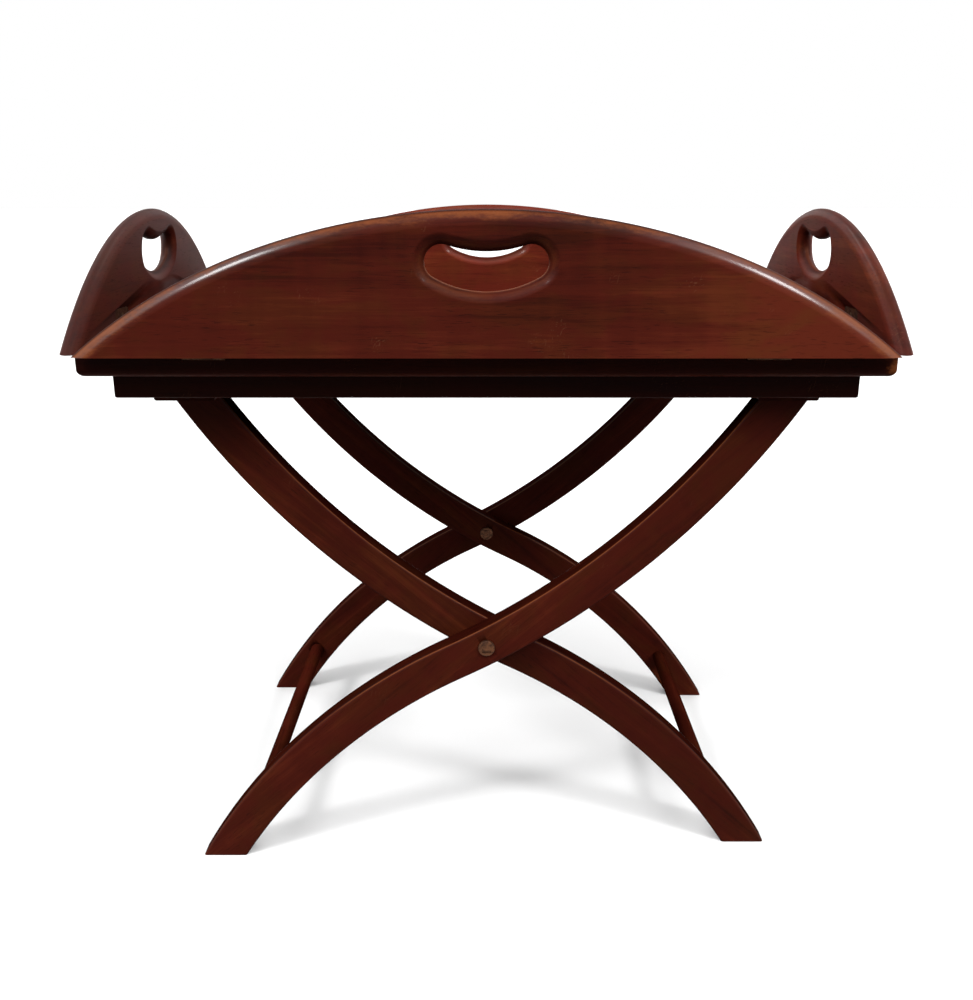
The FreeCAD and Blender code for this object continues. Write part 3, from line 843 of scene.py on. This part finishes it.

# grain turn, grain offset, shade, changes; shade is partly each piece's own tone, partly painted light and
# shade
# darkRim: painted shade on the rims' crowns; darkLip: darker hole lips; lipLine: painted highlight on the
# hole's arris
frontFlap = {"wear": 0.8, "reach": 0.42, "paleEnd": 0.75, "wornEnds": 0.35, "wornMiddle": 0.18,
             "dullMiddle": 0.85, "darkRim": 0.55}
backFlap = {"wear": 0.4, "coat": 0.15, "lipLine": 0.1, "darkLip": 0.5}
leftFlap = {"wear": 0.1, "coat": 0.1, "roughness": 0.55, "specular": 0.09, "scuffs": 0.12, "lipLine": 0.1,
            "darkRim": 0.45, "darkLip": 0.6}
rightFlap = dict(leftFlap, specular=0.05, coat=0.25)
flapFinishes = {
    "front": (alongX, (0.0, 0.0, 0.0), 1.0, frontFlap),
    "back": (alongX, (3.1, 1.2, 0.0), 1.85, backFlap),
    "left": (alongY, (5.3, 0.4, 0.0), 0.95, leftFlap),
    "right": (alongY, (7.7, 2.4, 0.0), 1.55, rightFlap),
}
for sideName, (turnDeg, offset, shade, changes) in flapFinishes.items():
    dress(flaps[sideName], makeWood(sideName + "FlapMahogany", turnDeg, offset, "mesh", shade, changes))

# darkSides: painted shade on the legs' upper and lower faces; lipLine: painted highlight along their arrises,
# fading out below the lineFade heights
legEdges = {"reach": 0.2, "coat": 0.5, "scuffs": 0.08, "lipWear": 0.6, "lipLine": 0.9, "darkSides": 0.4,
            "lineFade": (0.15, 0.22, 0.25)}
# legs: grain turn, grain offset, shade, which is partly painted light and shade
legFinishes = {
    "outer_leg_front": ((0.0, 41.0, 0.0), (9.3, 1.4, 0.0), 0.84),
    "outer_leg_rear": ((0.0, 41.0, 0.0), (10.3, 2.4, 0.0), 0.95),
    "inner_leg_front": ((0.0, -41.0, 0.0), (11.3, 3.4, 0.0), 0.67),
    "inner_leg_rear": ((0.0, -41.0, 0.0), (12.3, 4.4, 0.0), 0.95),
}
for legName, (turnDeg, offset, shade) in legFinishes.items():
    dress(legs[legName], makeWood(legName + "Mahogany", turnDeg, offset, "mesh", shade, legEdges))

# grain turn, grain offset, kind of edge, shade, changes; shade as for the flaps
# darkSides: painted shade on the upright side faces
battenEdges = {"coat": 0.05, "wear": 0.5, "scuffs": 0.15, "specular": 0.02, "darkSides": 0.7}
# a painted lit patch on the board's front right corner
boardEdges = dict(battenEdges, paintedLitCorner=(0.372, -0.267, 0.541))
railEdges = dict(battenEdges, darkSides=0.25)
roundBars = {"scuffs": 0.15, "specular": 0.0}
plainFinishes = {
    "tray_board": (alongX, (1.3, 4.4, 0.0), "square", 0.9, boardEdges),
    "batten_front": (alongX, (2.3, 5.4, 0.0), "square", 0.7, battenEdges),
    "batten_back": (alongX, (4.3, 6.4, 0.0), "square", 0.7, battenEdges),
    "batten_left": (alongY, (6.3, 7.4, 0.0), "square", 0.7, battenEdges),
    "batten_right": (alongY, (8.3, 8.4, 0.0), "square", 0.7, battenEdges),
    "right_top_rail": (alongY, (13.3, 5.4, 0.0), "square", 0.8, railEdges),
    "left_top_rail": (alongY, (14.3, 6.4, 0.0), "square", 0.8, railEdges),
    "left_stretcher": (alongY, (15.3, 7.4, 0.0), None, 0.90, roundBars),
    "right_stretcher": (alongY, (16.3, 8.4, 0.0), None, 0.55, roundBars),
}
for nodeName, finish in plainFinishes.items():
    dress(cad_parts[nodeName], makeWood(nodeName + "Mahogany", *finish))

metalFinishes = {
    "hingeBrass": {"bright": (0.060, 0.024, 0.011), "dull": (0.029, 0.012, 0.007), "metallic": 0.40,
                   "specular": 0.03, "scale": 150.0},
    "screwBrass": {"bright": (0.120, 0.072, 0.036), "dull": (0.040, 0.024, 0.016), "metallic": 0.6,
                   "specular": 0.2, "scale": 260.0},
    "pivotBrass": {"bright": (0.105, 0.041, 0.018), "dull": (0.043, 0.018, 0.010), "metallic": 0.75,
                   "specular": 0.3, "scale": 190.0},
    "battenSteel": {"bright": (0.160, 0.155, 0.150), "dull": (0.060, 0.052, 0.046), "metallic": 0.85,
                    "specular": 0.5, "scale": 220.0},
}
metals = {name: makeMetal(name, **values) for name, values in metalFinishes.items()}
for nodeName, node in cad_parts.items():
    if nodeName.startswith("pivot"):
        dress(node, metals["pivotBrass"])
    elif nodeName == "batten_screws":
        dress(node, metals["battenSteel"])
    elif nodeName.endswith("leaf_screws"):
        dress(node, metals["screwBrass"])
    elif "hinge" in nodeName:
        dress(node, metals["hingeBrass"])
print("finishes set")

# camera
cameraValues = {"place": (0.0, -1.200, 0.691), "pitchDeg": 16.217, "lens": 37.5, "clipEnd": 200.0}
camera = bpy.data.objects.new("camera", bpy.data.cameras.new("camera"))
camera.location = cameraValues["place"]
camera.rotation_euler = (math.radians(90.0 - cameraValues["pitchDeg"]), 0.0, 0.0)
camera.data.lens = cameraValues["lens"]
camera.data.clip_end = cameraValues["clipEnd"]
bpy.context.scene.collection.objects.link(camera)
bpy.context.scene.camera = camera

# studio light: two small key lamps and four broad ones from the front, two weaker ones from behind
lightValues = {
    "lamps": [  # azimuth, elevation, strength, width in degrees
        (-43.0, 43.0, 1.1, 9.5),
        (45.0, 38.5, 1.1, 9.5),
        (-57.0, 51.0, 1.35, 60.0),
        (57.0, 51.0, 1.35, 60.0),
        (-30.0, 44.0, 0.68, 50.0),
        (30.0, 44.0, 0.68, 50.0),
        (-145.0, 50.0, 0.55, 35.0),
        (145.0, 50.0, 0.55, 35.0),
    ],
    "ambient": 0.03,
    "floorPale": 0.92,
    "floorDim": 0.04,
    "floorReach": 60.0,
    "floorDrop": 0.0002,
}
for azimuth, elevation, strength, width in lightValues["lamps"]:
    lamp = bpy.data.objects.new("lamp", bpy.data.lights.new("lamp", "SUN"))
    lamp.data.energy = strength
    lamp.data.angle = math.radians(width)
    lamp.rotation_euler = (math.radians(90.0 - elevation), 0.0, math.radians(azimuth))
    bpy.context.scene.collection.objects.link(lamp)


def seenDirectly(tree):
    rays = addNode(tree, "ShaderNodeLightPath").outputs
    seen = doMath(tree, "MAXIMUM", rays["Is Camera Ray"], rays["Is Glossy Ray"])
    return doMath(tree, "MAXIMUM", seen, rays["Is Transmission Ray"])


def grey(level):
    return (level, level, level, 1.0)


# white where it is seen or mirrored, dim as a light
world = bpy.data.worlds.new("studio")
bpy.context.scene.world = world
world.use_nodes = True
tree = world.node_tree
tree.nodes.clear()
ambient = addNode(tree, "ShaderNodeBackground", None,
                  {"Color": grey(1.0), "Strength": lightValues["ambient"]})
white = addNode(tree, "ShaderNodeBackground", None, {"Color": grey(1.0), "Strength": 1.0})
both = addNode(tree, "ShaderNodeMixShader", None,
               {0: seenDirectly(tree), 1: ambient.outputs[0], 2: white.outputs[0]})
addNode(tree, "ShaderNodeOutputWorld", None, {"Surface": both.outputs[0]})

floorMesh = bpy.data.meshes.new("floor")
reach = lightValues["floorReach"]
corners = [(-reach, -reach, 0.0), (reach, -reach, 0.0), (reach, reach, 0.0), (-reach, reach, 0.0)]
floorMesh.from_pydata(corners, [], [(0, 1, 2, 3)])
floor = bpy.data.objects.new("floor", floorMesh)
floor.location.z = cadLow.z - lightValues["floorDrop"]
bpy.context.scene.collection.objects.link(floor)
paper, tree, shader = newMaterial("floorPaper")
tree.nodes.remove(shader)
dim = addNode(tree, "ShaderNodeBsdfDiffuse", None, {"Color": grey(lightValues["floorDim"])})
pale = addNode(tree, "ShaderNodeBsdfDiffuse", None, {"Color": grey(lightValues["floorPale"])})
both = addNode(tree, "ShaderNodeMixShader", None,
               {0: seenDirectly(tree), 1: dim.outputs[0], 2: pale.outputs[0]})
tree.links.new(both.outputs[0], tree.nodes["Material Output"].inputs["Surface"])
floorMesh.materials.append(paper)
floor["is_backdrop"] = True
print("camera, light and floor set")

bpy.context.scene.view_settings.view_transform = "Standard"
low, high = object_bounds()
